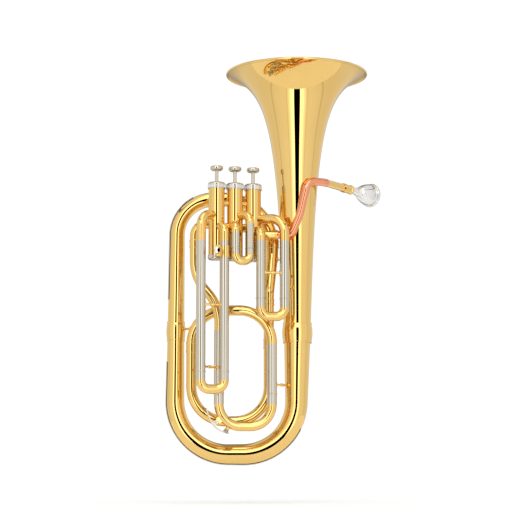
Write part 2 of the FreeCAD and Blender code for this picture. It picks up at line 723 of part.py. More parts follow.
def make_mouthpiece():
    """Cup mouthpiece; heights run from the receiver's mouth outwards to the rim."""
    tip = -SHANK_DEPTH + 0.3
    rim = MOUTHPIECE_SHOWN
    outline = [(4.3, tip), (shank_radius(tip), tip), (shank_radius(12), 12.0), (6.6, 16.0), (7.0, 20.0)]
    cup_foot = 22.0
    cup_height = rim - 6.5 - cup_foot
    for step in range(9):
        share = step / 8
        outline.append((7.4 + 10.3 * math.sin(share * math.pi / 2), cup_foot + cup_height * share ** 1.25))
    outline += [(19.0, rim - 5.5), (19.7, rim - 4.0), (19.7, rim - 2.6), (18.8, rim - 0.8), (17.0, rim),
                (15.2, rim - 0.5), (13.4, rim - 2.0)]
    bowl_depth = 28.0
    for step in range(1, 9):
        share = step / 8
        bowl_r = 12.9 * math.cos(share * math.pi / 2) ** 0.8 + 3.3 * share
        outline.append((bowl_r, rim - 2.0 - bowl_depth * share))
    outline.append((3.3, rim - 36.0))
    return lathe(outline, RECEIVER_FOOT + unit(RECEIVER_AXIS) * RECEIVER_LENGTH, unit(RECEIVER_AXIS))


# --- braces ---------------------------------------------------------------------------------

def upright(centre, z, radius):
    """Stretch of a vertical tube as a full solid, for fitting flanges."""
    return Part.makeCylinder(radius, 60, at(centre, z - 30))


def spindle(start, end, necks=1.5, belly=2.4, pad=4.6, bodies=(), skins=()):
    """Turned brace between two tubes: slim necks, thicker middle, and a round flange fitted to each
    tube. bodies are the tubes as full solids; skins are the same grown by the flange thickness."""
    axis = unit(end - start)
    length = (end - start).Length
    outline = [(0, 0), (necks, 0), (necks, length * 0.32), (belly, length * 0.40),
               (belly, length * 0.60), (necks, length * 0.68), (necks, length), (0, length)]
    rod = lathe(outline, start, axis)
    pieces = [rod]
    for centre, skin in zip((start, end), skins):
        disc = Part.makeCylinder(pad, length * 0.9, centre, axis if centre is start else axis * -1)
        pieces.append(disc.common(skin))
    piece = pieces[0]
    for other in pieces[1:]:
        piece = piece.fuse(other)
    for body in bodies:
        piece = piece.cut(body)
    return max(piece.Solids, key=lambda solid: solid.Volume)


def leg_brace(first, first_r, second, second_r, z, **sizes):
    """Brace between two vertical tubes."""
    bodies = [upright(first, z, first_r), upright(second, z, second_r)]
    skins = [upright(first, z, first_r + SKIN), upright(second, z, second_r + SKIN)]
    way = unit(second - first)
    start = at(first, z) + way * (first_r * 0.8)
    end = at(second, z) - way * (second_r * 0.8)
    return spindle(start, end, bodies=bodies, skins=skins, **sizes)


def make_braces(bow, bow_skin, bell, bell_skin, arch, arch_skin, top, top_skin, lead, lead_skin, branch,
                branch_skin):
    one = SLIDES[1]
    three = SLIDES[3]
    braces = [
        leg_brace(one["left"], one["r"], one["right"], one["r"], 302.0, necks=1.8, belly=2.9),
        leg_brace(three["left"], three["r"], three["right"], three["r"], 250.0, necks=1.9, belly=3.1),
        leg_brace(three["left"], three["r"], MAIN_LEFT, MAIN_R, 153.0),
        leg_brace(RISER, RISER_R, MAIN_RIGHT, MAIN_R, 160.0, belly=1.8),
    ]
    # main slide to the bottom bow's right leg
    z = 127.0
    braces.append(spindle(at(MAIN_RIGHT, z) + Vector(5, 4, 0), Vector(BELL_X - 14, -8, z),
                          bodies=[upright(MAIN_RIGHT, z, MAIN_R), bow],
                          skins=[upright(MAIN_RIGHT, z, MAIN_R + SKIN), bow_skin]))
    # first slide to the bell, with a larger flange
    z = 282.0
    leg = one["right"]
    toward_bell = unit(Vector(BELL_X, 0, 0) - leg)
    braces.append(spindle(at(leg, z) + toward_bell * 5, at(leg, z) + toward_bell * 36, pad=5.6,
                          bodies=[upright(leg, z, one["r"]), bell],
                          skins=[upright(leg, z, one["r"] + SKIN), bell_skin]))
    # big branch ferrule to the arch
    z = 217.0
    braces.append(spindle(Vector(BRANCH_X + 12, -5, z), Vector(-68, -19.6, z), pad=4.0, belly=1.9,
                          bodies=[upright(Vector(BRANCH_X, 0, 0), z, 15.25), arch],
                          skins=[upright(Vector(BRANCH_X, 0, 0), z, 15.25 + SKIN), arch_skin]))
    # mouthpipe to the bell
    braces.append(spindle(Vector(101.4, -38, 396), Vector(99.6, -24, 396), pad=4.6, belly=2.0,
                          bodies=[lead, bell], skins=[lead_skin, bell_skin]))
    # second valve to the top bow
    valve = valve_axis(2)
    braces.append(spindle(at(valve, 424) + Vector(0, 10, 0), Vector(valve.x, -3, 424),
                          bodies=[casing_core(2), top], skins=[casing_core(2, CASING_R + SKIN), top_skin]))
    # small branch to the bell
    z = 330.0
    braces.append(spindle(Vector(61, 2, z), Vector(78, 1, z), pad=4.4, belly=1.8,
                          bodies=[branch, bell], skins=[branch_skin, bell_skin]))
    return all_of(braces)


def make_lyre_holder():
    """Block soldered to the third slide's right leg, with an upright socket for a music lyre."""
    leg = SLIDES[3]["right"]
    leg_r = SLIDES[3]["r"]
    height = LYRE_TOP_Z - LYRE_FOOT_Z
    sleeve = Part.makeCylinder(leg_r + 1.2, height, at(leg, LYRE_FOOT_Z))
    post = Part.makeCylinder(4.6, height, at(LYRE_POST, LYRE_FOOT_Z))
    way = unit(LYRE_POST - leg)
    side = Vector(-way.y, way.x, 0)
    reach = (LYRE_POST - leg).Length
    corners = [leg + side * 3.2, leg + side * 3.2 + way * reach,
               leg - side * 3.2 + way * reach, leg - side * 3.2]
    corners = [at(corner, LYRE_FOOT_Z + 2) for corner in corners]
    web = Part.Face(Part.makePolygon(corners + corners[:1])).extrude(UP * (height - 4))
    holder = merge(sleeve, post, web)
    holder = holder.cut(Part.makeCylinder(leg_r, height + 4, at(leg, LYRE_FOOT_Z - 2)))
    holder = holder.cut(Part.makeCylinder(LYRE_BORE_R, height + 4, at(LYRE_POST, LYRE_FOOT_Z - 2)))
    holder = holder.cut(upright(valve_axis(3), LYRE_TOP_Z, BOTTOM_CAP_R + 0.3))
    return holder.cut(bar(lyre_screw_tip(), lyre_screw_tip() + lyre_screw_way() * 12, 1.6))


def lyre_screw_way():
    return unit(Vector(-0.12, -1.0, 0))


def lyre_screw_tip():
    """The screw's tip, backed off level with the wall of the socket."""
    return at(LYRE_POST, (LYRE_FOOT_Z + LYRE_TOP_Z) / 2) + lyre_screw_way() * (LYRE_BORE_R + 0.2)


def make_lyre_screw():
    outline = [(0, 0), (1.55, 0), (1.55, 5.0), (2.4, 5.2), (2.4, 6.6), (4.9, 7.0), (5.2, 7.5), (5.2, 9.4),
               (4.9, 9.9), (0, 10.4)]
    return lathe(outline, lyre_screw_tip(), lyre_screw_way())


# --- write the sub-parts ---------------------------------------------------------------------

def big_tubing():
    bow = bottom_bow_solid()
    bow_skin = bottom_bow_solid(SKIN)
    bell = bell_solid(0)
    top = top_bow_solid()
    top_skin = top_bow_solid(SKIN)
    branch = small_branch_solid()
    export("bell_tail", make_bell_wall(BELL_TAIL_Z, BELL_SEAMS[0]))
    export("bell_throat", make_bell_wall(BELL_SEAMS[0], BELL_SEAMS[1]))
    export("bell_flare", make_bell_flare())
    foot, top_end = 195.0, 227.5
    joint_r = bell_radius(BELL_TAIL_Z) + FERRULE_GAP
    bore = [(bell_radius(top_end) + FERRULE_GAP, top_end), (joint_r, BELL_TAIL_Z), (joint_r, foot)]
    export("bell_ferrule", make_ferrule(foot, top_end, 24.3, 23.4, Vector(BELL_X, 0, 0), bore))
    export("bottom_bow", bow.cut(bottom_bow_solid(-WALL)).cut(bell))
    band = box(Vector(-130, -7, -10), Vector(103, 7, 165)).cut(box(Vector(60, -7, 62), Vector(140, 7, 200)))
    export("bottom_bow_guard", bow_guard(bow, bow_skin, bottom_bow_points(), [BOTTOM_BEND] * 2, band))
    foot, top_end = 198.0, 229.0
    bore = [(BOTTOM_R_THIN + 2 * FERRULE_GAP, top_end), (BOTTOM_R_THIN + 2 * FERRULE_GAP, BRANCH_JOINT_Z),
            (BOTTOM_R_THIN + 3 * FERRULE_GAP, foot)]
    export("branch_ferrule", make_ferrule(foot, top_end, 15.25, 14.7, Vector(BRANCH_X, 0, 0), bore))
    export("top_bow", top.cut(top_bow_solid(-WALL)))
    band = box(Vector(-130, -7, 265), Vector(-70, 7, 460))
    top_bends = [TOP_LEFT_BEND, TOP_RIGHT_BEND]
    export("top_bow_guard", bow_guard(top, top_skin, top_bow_points(), top_bends, band))
    export("small_branch", tube(small_branch_points(), [60, 60], TOP_R_THIN, RISER_R))
    export("riser_tube", straight_tube(at(RISER, RISER_FOOT_Z), at(RISER, RISER_TOP_Z), RISER_R))
    bell_skin = bell_solid(-SKIN)
    return bow, bow_skin, bell, bell_skin, top, top_skin, branch


def return_tubing():
    return_points = [at(RETURN_LEFT, RETURN_JOINT_Z), at(RETURN_LEFT, RETURN_AXIS_Z),
                     at(RISER, RETURN_AXIS_Z), at(RISER, RISER_FOOT_Z)]
    export("return_bow", tube(return_points, [RETURN_BEND] * 2, RISER_R))
    arch_points = [at(RETURN_LEFT, RETURN_JOINT_Z), at(RETURN_LEFT, ARCH_AXIS_Z),
                   at(MAIN_RIGHT, ARCH_AXIS_Z), at(MAIN_RIGHT, MAIN_RIGHT_TOP_Z)]
    export("return_arch", tube(arch_points, [ARCH_BEND] * 2, RISER_R))
    arch = round_bar(arch_points, [ARCH_BEND] * 2, RISER_R)
    arch_skin = round_bar(arch_points, [ARCH_BEND] * 2, RISER_R + SKIN)
    joints = [tube_ferrule(RETURN_LEFT, 178.0, 195.0, RISER_R), tube_ferrule(RISER, 185.0, 201.0, RISER_R)]
    exit_line = Vector(EXIT_X, EXIT_Y, 0)
    joints.append(tube_ferrule(exit_line, 343.0, 356.0, EXIT_R))
    riser_top = tube_ferrule(RISER, RISER_TOP_Z - 8, RISER_TOP_Z + 3, RISER_R)
    joints.append(riser_top.cut(small_branch_solid()))
    branch_top = tube_ferrule(TOP_RIGHT, TOP_END_Z - 1, TOP_END_Z + 12, TOP_R_THIN - 0.5, 1.6)
    joints.append(branch_top.cut(small_branch_solid()).cut(top_bow_solid()))
    joints.append(lead_sleeve())
    export("tube_ferrules", all_of(joints))
    outer = [outer_leg(MAIN_LEFT, MAIN_OUTER_FOOT_Z, MAIN_LEFT_TOP_Z, MAIN_R),
             outer_leg(MAIN_RIGHT, MAIN_OUTER_FOOT_Z, MAIN_RIGHT_TOP_Z, MAIN_R)]
    export("main_slide_outer_tubes", all_of(outer))
    exit_points = [at(valve_axis(3), EXIT_PORT_Z), Vector(EXIT_X, EXIT_Y, EXIT_PORT_Z),
                   Vector(EXIT_X, EXIT_Y, 297.7), at(MAIN_LEFT, 249.5), at(MAIN_LEFT, MAIN_LEFT_TOP_Z)]
    export("exit_tube", tube(exit_points, [18, 70, 70], EXIT_R).cut(casing_core(3)))
    return arch, arch_skin


def valves():
    for number in (1, 2, 3):
        tag = str(number)
        export("valve_casing_" + tag, make_casing(number))
        export("valve_piston_" + tag, make_piston(number))
        export("valve_stem_" + tag, make_stem(number))
        export("finger_button_" + tag, make_button(number))
        export("valve_spring_" + tag, make_valve_spring(number))
        export("slide_" + tag + "_outer_tubes", valve_slide_outer(number))
        export("slide_" + tag + "_elbows", valve_slide_elbows(number))
        export("slide_" + tag + "_bow", valve_slide_bow(number))
        export("slide_" + tag + "_inner_legs", valve_slide_legs(number))
    export("valve_top_caps", all_of([make_top_cap(number) for number in (1, 2, 3)]))
    export("valve_bottom_caps", all_of([make_bottom_cap(number) for number in (1, 2, 3)]))
    export("cap_felts", all_of([make_cap_felt(number) for number in (1, 2, 3)]))
    tubes = [knuckle(number, PORT_Z, PORT_R + WALL, WALL) for number in (1, 2)]
    posts = [knuckle(number, 415.0, 4.2) for number in (1, 2)]
    export("valve_knuckles", all_of(tubes + posts))


def main_slide():
    bow = tube(main_bow_points(), main_bow_bends(), MAIN_BOW_R)
    full_bow = round_bar(main_bow_points(), main_bow_bends(), MAIN_BOW_R)
    drain_foot = key_point(WATER_KEY_CORK_TURN, MAIN_BOW_BEND)
    drain = bar(drain_foot, key_point(WATER_KEY_CORK_TURN, 50), 1.6)
    export("main_slide_bow", bow.cut(drain))
    legs = []
    for line, top in ((MAIN_LEFT, 204.0), (MAIN_RIGHT, 186.0)):
        legs.append(inner_leg(line, MAIN_BOW_TOP_Z, top, MAIN_R, MAIN_OUTER_FOOT_Z - MAIN_BOW_TOP_Z))
    export("main_slide_inner_legs", all_of(legs))
    export("water_key_saddle", make_key_saddle(full_bow))
    export("water_key_nipple", make_key_nipple(full_bow))
    export("water_key_pin", make_key_pin())
    export("water_key_lever", make_key_lever())
    export("water_key_cork", make_key_cork())


def mouth_end(bell, bell_skin):
    lead = round_bar(LEAD_POINTS, LEAD_BENDS, LEAD_R)
    lead_skin = round_bar(LEAD_POINTS, LEAD_BENDS, LEAD_R + SKIN)
    export("leadpipe", make_leadpipe())
    export("mouthpiece_receiver", make_receiver())
    export("mouthpiece", make_mouthpiece())
    return lead, lead_skin


def main():
    os.makedirs("parts", exist_ok=True)
    bow, bow_skin, bell, bell_skin, top, top_skin, branch = big_tubing()
    arch, arch_skin = return_tubing()
    valves()
    main_slide()
    lead, lead_skin = mouth_end(bell, bell_skin)
    branch_skin = small_branch_solid(SKIN)
    export("tube_braces", make_braces(bow, bow_skin, bell, bell_skin, arch, arch_skin, top, top_skin,
                                      lead, lead_skin, branch, branch_skin))
    export("lyre_holder", make_lyre_holder())
    export("lyre_screw", make_lyre_screw())


main()
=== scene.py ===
import json
import math

import bmesh
import bpy
from bpy.props import FloatProperty, FloatVectorProperty, IntProperty, PointerProperty
from mathutils import Matrix, Vector


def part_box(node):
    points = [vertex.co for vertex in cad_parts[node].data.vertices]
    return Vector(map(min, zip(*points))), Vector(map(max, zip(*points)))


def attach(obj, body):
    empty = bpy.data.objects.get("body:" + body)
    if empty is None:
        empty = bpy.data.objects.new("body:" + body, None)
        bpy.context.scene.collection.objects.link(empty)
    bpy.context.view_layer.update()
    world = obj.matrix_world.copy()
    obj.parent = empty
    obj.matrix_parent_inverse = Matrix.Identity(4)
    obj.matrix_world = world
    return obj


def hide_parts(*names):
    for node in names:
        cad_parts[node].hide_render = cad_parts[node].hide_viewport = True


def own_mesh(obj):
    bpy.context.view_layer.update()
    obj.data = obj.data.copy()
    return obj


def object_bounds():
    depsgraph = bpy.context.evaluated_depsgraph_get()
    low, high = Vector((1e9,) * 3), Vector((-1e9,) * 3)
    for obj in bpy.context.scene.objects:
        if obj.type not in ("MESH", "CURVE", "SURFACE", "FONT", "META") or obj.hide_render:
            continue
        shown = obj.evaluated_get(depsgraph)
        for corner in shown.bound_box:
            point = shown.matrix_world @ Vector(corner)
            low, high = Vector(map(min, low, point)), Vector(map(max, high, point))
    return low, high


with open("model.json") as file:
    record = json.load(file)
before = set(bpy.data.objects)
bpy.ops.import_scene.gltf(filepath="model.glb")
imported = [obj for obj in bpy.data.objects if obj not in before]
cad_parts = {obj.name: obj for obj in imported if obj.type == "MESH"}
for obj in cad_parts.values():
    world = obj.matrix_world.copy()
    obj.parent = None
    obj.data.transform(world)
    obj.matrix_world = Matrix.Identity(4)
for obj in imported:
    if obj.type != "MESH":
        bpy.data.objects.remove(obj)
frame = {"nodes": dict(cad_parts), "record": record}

bl_info = {
    "name": "Baritone Horn",
    "version": (1, 0, 0),
    "blender": (4, 5, 0),
    "location": "View3D > Sidebar > Horn",
    "description": "Three-valve upright brass horn with its slides, valves, mouthpiece and studio",
    "category": "Add Mesh",
}

CAD_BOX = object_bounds()
VALVES = (1, 2, 3)
RECEIVER_FOOT = Vector((0.1415, -0.025, 0.452))
RECEIVER_AXIS = Vector((45.5, 54.0, -2.9)).normalized()
RECEIVER_LENGTH = 0.0706
KEY_AXIS = Vector((-0.14242, 0.98980, 0.0))        # the water key's pin
KEY_COIL_STARTS = (-0.0029, 0.0016)                # along the pin, from the knuckle's middle
KEY_KNUCKLE_R = 0.0025
SCREW_AXIS = Vector((-0.1191, -0.9929, 0.0))       # the lyre's thumb screw, out from its socket
SCREW_TILT = (0.0016, 0.0012)                      # what the screw's slant adds to its box in X and Y
SCREW_HEAD_HALF = 0.0012                           # half the thickness of its head
RIB_SINK = 0.0001                                  # how deep a rib's centre lies in the side it stands on
# Name of the grips, the caps they are on, and where they start and end above the caps' foot.
CAP_GRIPS = (("top_cap_grips", "valve_top_caps", 0.0011, 0.0074),
             ("bottom_cap_grips", "valve_bottom_caps", 0.0032, 0.0085))
# Each ring's place along the mouthpiece from the receiver's end, its radius and its wire's radius.
MOUTHPIECE_RINGS = ((0.0180, 0.0067, 0.0007), (0.0215, 0.0073, 0.0006), (0.0485, 0.0174, 0.0011),
                    (0.0518, 0.0183, 0.0008))
CAMERA_PLACE = (0.0381, -2.669, -0.0224)
FILM_WIDTH = 36.0                                  # millimetres


# --- sizes and colours a user would change ---------------------------------------------------

class HornFinish(bpy.types.PropertyGroup):
    brass: FloatVectorProperty(
        name="Yellow Brass", description="Lacquered yellow brass of the bell, bows and casings",
        subtype="COLOR", size=4, default=(0.86, 0.585, 0.205, 1.0))
    brass_shade: FloatVectorProperty(
        name="Brass Shade", description="Deeper tone where the lacquer is thicker",
        subtype="COLOR", size=4, default=(0.80, 0.50, 0.14, 1.0))
    gold_brass: FloatVectorProperty(
        name="Gold Brass", description="Copper-rich brass of the leadpipe",
        subtype="COLOR", size=4, default=(0.87, 0.34, 0.19, 1.0))
    nickel: FloatVectorProperty(
        name="Nickel Silver", description="Slide tubes, ferrules, caps and buttons",
        subtype="COLOR", size=4, default=(0.62, 0.57, 0.47, 1.0))
    silver: FloatVectorProperty(
        name="Silver Plate", description="Mouthpiece plating",
        subtype="COLOR", size=4, default=(0.86, 0.85, 0.82, 1.0))
    steel: FloatVectorProperty(
        name="Spring Steel", description="Springs and pins",
        subtype="COLOR", size=4, default=(0.40, 0.40, 0.41, 1.0))
    felt: FloatVectorProperty(
        name="Felt", description="Felt rings under the finger buttons",
        subtype="COLOR", size=4, default=(0.80, 0.78, 0.74, 1.0))
    cork: FloatVectorProperty(
        name="Cork", description="Cork pad of the water key",
        subtype="COLOR", size=4, default=(0.48, 0.30, 0.16, 1.0))


class HornSizes(bpy.types.PropertyGroup):
    flare: FloatProperty(
        name="Flare", description="Depth over which the bell opens out", default=0.0271, unit="LENGTH")
    flare_power: FloatProperty(
        name="Flare Power", description="How sharply the bell opens near its mouth", default=0.6, min=0.2)
    bell_wall: FloatProperty(
        name="Bell Wall", description="Thickness of the bell", default=0.0008, unit="LENGTH")
    bell_bead: FloatProperty(
        name="Rim Bead", description="Radius of the bead round the bell's mouth", default=0.0019,
        unit="LENGTH")
    rib_count: IntProperty(
        name="Cap Ribs", description="Ribs around each valve cap", default=44, min=8, max=90)
    rib_depth: FloatProperty(
        name="Rib Depth", description="How far a cap's ribs stand out", default=0.00035, unit="LENGTH")
    spring_turns: FloatProperty(
        name="Spring Turns", description="Turns of each valve spring", default=7.0, min=2.0)
    spring_wire: FloatProperty(
        name="Spring Wire", description="Radius of the valve spring wire", default=0.00055, unit="LENGTH")
    key_wire: FloatProperty(
        name="Key Spring Wire", description="Radius of the water key's spring wire", default=0.00022,
        unit="LENGTH")


class HornStudio(bpy.types.PropertyGroup):
    tent: FloatProperty(
        name="Tent", description="Brightness of the white tent around the horn", default=0.95, min=0.0)
    panel: FloatProperty(
        name="Panel", description="Extra brightness of the two panels beside the lens", default=1.3, min=0.0)
    gap_half: FloatProperty(
        name="Gap Half Width", description="Half the angle of the dark gap between the panels",
        default=math.radians(10.7), subtype="ANGLE")
    panel_half: FloatProperty(
        name="Panel Reach", description="Angle at which the panels have faded out",
        default=math.radians(36.0), subtype="ANGLE")
    panel_foot: FloatProperty(
        name="Panel Foot", description="Angle below the horizon where the panels and their gap end",
        default=math.radians(62.0), subtype="ANGLE")
    behind: FloatProperty(
        name="Behind", description="Brightness of the tent behind the horn, which darkens its outline",
        default=0.4, min=0.0)
    floor_drop: FloatProperty(
        name="Floor Drop", description="Depth of the floor under the horn", default=0.06, unit="LENGTH")
    floor_radius: FloatProperty(
        name="Floor Radius", description="Radius of the round white floor sheet", default=0.66,
        unit="LENGTH")
    lens: FloatProperty(name="Lens", description="Focal length in millimetres", default=115.5)
    camera_pitch: FloatProperty(
        name="Camera Pitch", description="Upward tilt of the camera", default=math.radians(7.51),
        subtype="ANGLE")


# --- shared shader groups --------------------------------------------------------------------

def new_group(name, inputs, outputs):
    """Shader group with named sockets; inputs and outputs are (name, socket type, default)."""
    group = bpy.data.node_groups.new(name, "ShaderNodeTree")
    for label, kind, default in inputs:
        socket = group.interface.new_socket(name=label, in_out="INPUT", socket_type=kind)
        socket.default_value = default
    for label, kind in outputs:
        group.interface.new_socket(name=label, in_out="OUTPUT", socket_type=kind)
    return group, group.nodes.new("NodeGroupInput"), group.nodes.new("NodeGroupOutput")


def metal_tone_group():
    """Soft clouds of a second tone in a metal's colour, such as uneven lacquer or tarnish."""
    group, source, result = new_group(
        "Metal Tone",
        [("Colour", "NodeSocketColor", (1, 1, 1, 1)), ("Shade", "NodeSocketColor", (1, 1, 1, 1)),
         ("Scale", "NodeSocketFloat", 9.0), ("Amount", "NodeSocketFloat", 0.35)],
        [("Colour", "NodeSocketColor")])
    nodes, links = group.nodes, group.links
    place = nodes.new("ShaderNodeTexCoord")
    clouds = nodes.new("ShaderNodeTexNoise")
    clouds.inputs["Detail"].default_value = 3.0
    share = nodes.new("ShaderNodeMapRange")
    share.inputs["From Min"].default_value = 0.35
    share.inputs["From Max"].default_value = 0.7
    strength = nodes.new("ShaderNodeMath")
    strength.operation = "MULTIPLY"
    blend = nodes.new("ShaderNodeMix")
    blend.data_type = "RGBA"
    links.new(place.outputs["Object"], clouds.inputs["Vector"])
    links.new(source.outputs["Scale"], clouds.inputs["Scale"])
    links.new(clouds.outputs["Fac"], share.inputs["Value"])
    links.new(share.outputs["Result"], strength.inputs[0])
    links.new(source.outputs["Amount"], strength.inputs[1])
    links.new(strength.outputs[0], blend.inputs["Factor"])
    links.new(source.outputs["Colour"], blend.inputs["A"])
    links.new(source.outputs["Shade"], blend.inputs["B"])
    links.new(blend.outputs["Result"], result.inputs["Colour"])
    return group


def polish_group():
    """Roughness of a polished surface with faint handling smears, and the height of its fine
    polishing lines."""
    group, source, result = new_group(
        "Polish",
        [("Roughness", "NodeSocketFloat", 0.08), ("Smears", "NodeSocketFloat", 0.05),
         ("Smear Scale", "NodeSocketFloat", 30.0), ("Line Scale", "NodeSocketFloat", 900.0)],
        [("Roughness", "NodeSocketFloat"), ("Height", "NodeSocketFloat")])
    nodes, links = group.nodes, group.links
    place = nodes.new("ShaderNodeTexCoord")
    smears = nodes.new("ShaderNodeTexNoise")
    smears.inputs["Detail"].default_value = 6.0
    smears.inputs["Roughness"].default_value = 0.62
    share = nodes.new("ShaderNodeMapRange")
    share.inputs["From Min"].default_value = 0.45
    share.inputs["From Max"].default_value = 0.8
    extra = nodes.new("ShaderNodeMath")
    extra.operation = "MULTIPLY"
    total = nodes.new("ShaderNodeMath")
    total.operation = "ADD"
    stretch = nodes.new("ShaderNodeMapping")
    stretch.inputs["Scale"].default_value = (1.0, 1.0, 0.04)
    lines = nodes.new("ShaderNodeTexNoise")
    lines.inputs["Detail"].default_value = 2.0
    links.new(place.outputs["Object"], smears.inputs["Vector"])
    links.new(source.outputs["Smear Scale"], smears.inputs["Scale"])
    links.new(smears.outputs["Fac"], share.inputs["Value"])
    links.new(share.outputs["Result"], extra.inputs[0])
    links.new(source.outputs["Smears"], extra.inputs[1])
    links.new(extra.outputs[0], total.inputs[0])
    links.new(source.outputs["Roughness"], total.inputs[1])
    links.new(total.outputs[0], result.inputs["Roughness"])
    links.new(place.outputs["Object"], stretch.inputs["Vector"])
    links.new(stretch.outputs["Vector"], lines.inputs["Vector"])
    links.new(source.outputs["Line Scale"], lines.inputs["Scale"])
    links.new(lines.outputs["Fac"], result.inputs["Height"])
    return group


def shared_group(name, make):
    """Shader group of that name, made the first time it is asked for."""
    return bpy.data.node_groups.get(name) or make()


def new_material(name):
    """Empty material with its node tree and its main shader."""
    material = bpy.data.materials.new(name)
    material.use_nodes = True
    nodes = material.node_tree.nodes
    return material, nodes, material.node_tree.links, nodes["Principled BSDF"]


def polished_metal(name, colour, shade, roughness, smears, tone_amount=0.35, coat=0.0, bump=0.0):
    """Metal with clouded tone and smeared polish, and drawing lines where it isn't a mirror."""
    material, nodes, links, shader = new_material(name)
    shader.inputs["Metallic"].default_value = 1.0
    shader.inputs["Coat Weight"].default_value = coat
    shader.inputs["Coat Roughness"].default_value = 0.03
    tone = nodes.new("ShaderNodeGroup")
    tone.node_tree = shared_group("Metal Tone", metal_tone_group)
    tone.inputs["Colour"].default_value = colour
    tone.inputs["Shade"].default_value = shade
    tone.inputs["Amount"].default_value = tone_amount
    polish = nodes.new("ShaderNodeGroup")
    polish.node_tree = shared_group("Polish", polish_group)
    polish.inputs["Roughness"].default_value = roughness
    polish.inputs["Smears"].default_value = smears
    links.new(tone.outputs["Colour"], shader.inputs["Base Color"])
    links.new(polish.outputs["Roughness"], shader.inputs["Roughness"])
    if bump:
        relief = nodes.new("ShaderNodeBump")
        relief.inputs["Strength"].default_value = bump
        relief.inputs["Distance"].default_value = 0.0002
        links.new(polish.outputs["Height"], relief.inputs["Height"])
        links.new(relief.outputs["Normal"], shader.inputs["Normal"])
    return material


def felt_material(colour):
    """Matt felt with fine fibres in its colour and height."""
    material, nodes, links, shader = new_material("Pressed Felt")
    shader.inputs["Roughness"].default_value = 1.0
    shader.inputs["Sheen Weight"].default_value = 0.4
    place = nodes.new("ShaderNodeTexCoord")
    fibres = nodes.new("ShaderNodeTexNoise")
    fibres.inputs["Scale"].default_value = 2500.0
    fibres.inputs["Detail"].default_value = 5.0
    tint = nodes.new("ShaderNodeValToRGB")
    tint.color_ramp.elements[0].position = 0.3
    tint.color_ramp.elements[0].color = [part * 0.72 for part in colour[:3]] + [1.0]
    tint.color_ramp.elements[1].position = 0.7
    tint.color_ramp.elements[1].color = colour
    relief = nodes.new("ShaderNodeBump")
    relief.inputs["Distance"].default_value = 0.0002
    links.new(place.outputs["Object"], fibres.inputs["Vector"])
    links.new(fibres.outputs["Fac"], tint.inputs["Fac"])
    links.new(tint.outputs["Color"], shader.inputs["Base Color"])
    links.new(fibres.outputs["Fac"], relief.inputs["Height"])
    links.new(relief.outputs["Normal"], shader.inputs["Normal"])
    return material


def cork_material(colour):
    """Cork with small dark cells."""
    material, nodes, links, shader = new_material("Fine Cork")
    shader.inputs["Roughness"].default_value = 0.85
    place = nodes.new("ShaderNodeTexCoord")
    cells = nodes.new("ShaderNodeTexVoronoi")
    cells.inputs["Scale"].default_value = 1400.0
    tint = nodes.new("ShaderNodeValToRGB")
    tint.color_ramp.elements[0].color = [part * 0.45 for part in colour[:3]] + [1.0]
    tint.color_ramp.elements[1].position = 0.55
    tint.color_ramp.elements[1].color = colour
    relief = nodes.new("ShaderNodeBump")
    relief.inputs["Distance"].default_value = 0.0002
    links.new(place.outputs["Object"], cells.inputs["Vector"])
    links.new(cells.outputs["Distance"], tint.inputs["Fac"])
    links.new(tint.outputs["Color"], shader.inputs["Base Color"])
    links.new(cells.outputs["Distance"], relief.inputs["Height"])
    links.new(relief.outputs["Normal"], shader.inputs["Normal"])
    return material


def finishes():
    """Material of each slot in the record, made once."""
    ready = {material["horn_slot"]: material for material in bpy.data.materials if "horn_slot" in material}
    if ready:
        return ready
    look = bpy.context.scene.horn_finish
    made = {
        "lacquered_brass": polished_metal("Lacquered Brass", look.brass, look.brass_shade, 0.02, 0.01,
                                          coat=0.06),
        "gold_brass": polished_metal("Gold Brass", look.gold_brass, look.brass, 0.03, 0.01, 0.15, coat=0.06),
        "nickel_silver": polished_metal("Nickel Silver", look.nickel, look.steel, 0.025, 0.012, 0.12),
        "silver_plate": polished_metal("Silver Plate", look.silver, look.steel, 0.025, 0.012, 0.3),
        "spring_steel": polished_metal("Spring Steel", look.steel, look.nickel, 0.2, 0.08, 0.3, bump=0.05),
        # Nickel silver darkened to 0.62 of its colour for the water key's lever: the darkening is painted
        # shade; its rougher, smeared polish is handling wear
        "handled_painted_shade_nickel": polished_metal("Handled Nickel", [part * 0.62 for part in look.nickel[:3]] + [1.0],
                                         look.steel, 0.1, 0.1, 0.5),
        "felt": felt_material(look.felt),
        "cork": cork_material(look.cork),
    }
    for slot, material in made.items():
        material["horn_slot"] = slot
    return made


# --- making and placing pieces ---------------------------------------------------------------

def centre_of(node):
    """Middle of a CAD node's box."""
    low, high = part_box(node)
    return (low + high) / 2


def finish_node(node):
    """Gives a CAD node its procedural material."""
    record_slots = {part["node"]: part["material_slot"] for part in frame["record"]["subparts"]}
    # The water key's lever takes the darkened nickel copy, which is painted shade, instead of its slot in
    # the record
    finish = "handled_painted_shade_nickel" if node == "water_key_lever" else record_slots[node]
    for slot in frame["nodes"][node].material_slots:
        slot.material = finishes()[finish]


def geometry_tree(name, inputs):
    """Geometry node tree with named inputs, an input for its finish, and one geometry output."""
    tree = bpy.data.node_groups.new(name, "GeometryNodeTree")
    for label, kind, default in inputs:
        socket = tree.interface.new_socket(name=label, in_out="INPUT", socket_type=kind)
        socket.default_value = default
    tree.interface.new_socket(name="Finish", in_out="INPUT", socket_type="NodeSocketMaterial")
    tree.interface.new_socket(name="Geometry", in_out="OUTPUT", socket_type="NodeSocketGeometry")
    return tree, tree.nodes.new("NodeGroupInput").outputs


def add(tree, kind, settings=None, **inputs):
    """Adds a node. An input is a socket to link or a plain value; _ in a label stands for a space."""
    node = tree.nodes.new(kind)
    for label, value in (settings or {}).items():
        setattr(node, label, value)
    for label, value in inputs.items():
        socket = node.inputs[label.replace("_", " ")]
        for each in value if isinstance(value, list) else [value]:
            if isinstance(each, bpy.types.NodeSocket):
                tree.links.new(each, socket)
            else:
                socket.default_value = each
    return node


